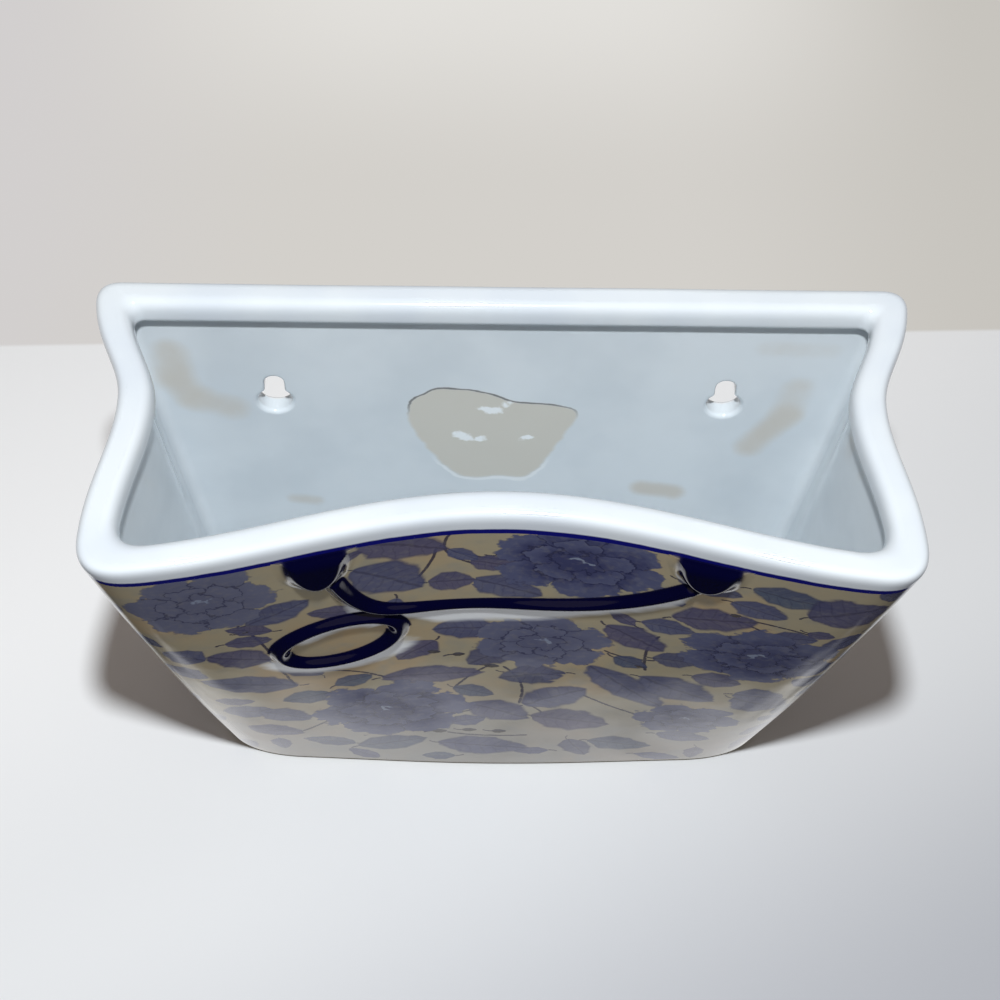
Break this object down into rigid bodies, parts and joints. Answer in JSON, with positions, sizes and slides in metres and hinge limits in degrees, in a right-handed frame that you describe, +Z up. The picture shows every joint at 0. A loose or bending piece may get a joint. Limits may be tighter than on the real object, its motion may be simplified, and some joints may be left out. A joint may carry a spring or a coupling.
{
  "type": "wall pocket",
  "caption": "Porcelain wall pocket shaped like a shopping bag, open at the top, with a flat back, two keyholes and a rope handle in relief on its flower-patterned front.",
  "frame": {"origin": "centre of the bounding box's footprint, on the surface that the base stands on", "axes": "+Z up from the base to the lip; +Y towards the wall, square to the flat back; +X to the viewer's right when looking at the patterned front"},
  "size_m": [0.22, 0.0975, 0.172],
  "materials": {
    "white_glaze": "glossy clear glaze over white porcelain, faintly blue where it pools",
    "printed_glaze": "glossy glaze over a blue flower pattern on a tan ground",
    "cobalt_glaze": "glossy deep cobalt over moulded relief"
  },
  "bodies": {
    "root": {"base": "printed_glaze", "back_panel": "white_glaze", "left_gusset": "printed_glaze", "right_gusset": "printed_glaze", "front_panel": "printed_glaze", "rim_lip": "white_glaze", "left_handle_boss": "cobalt_glaze", "right_handle_boss": "cobalt_glaze", "handle_run": "cobalt_glaze", "handle_loop": "cobalt_glaze"}
  },
  "joints": []
}
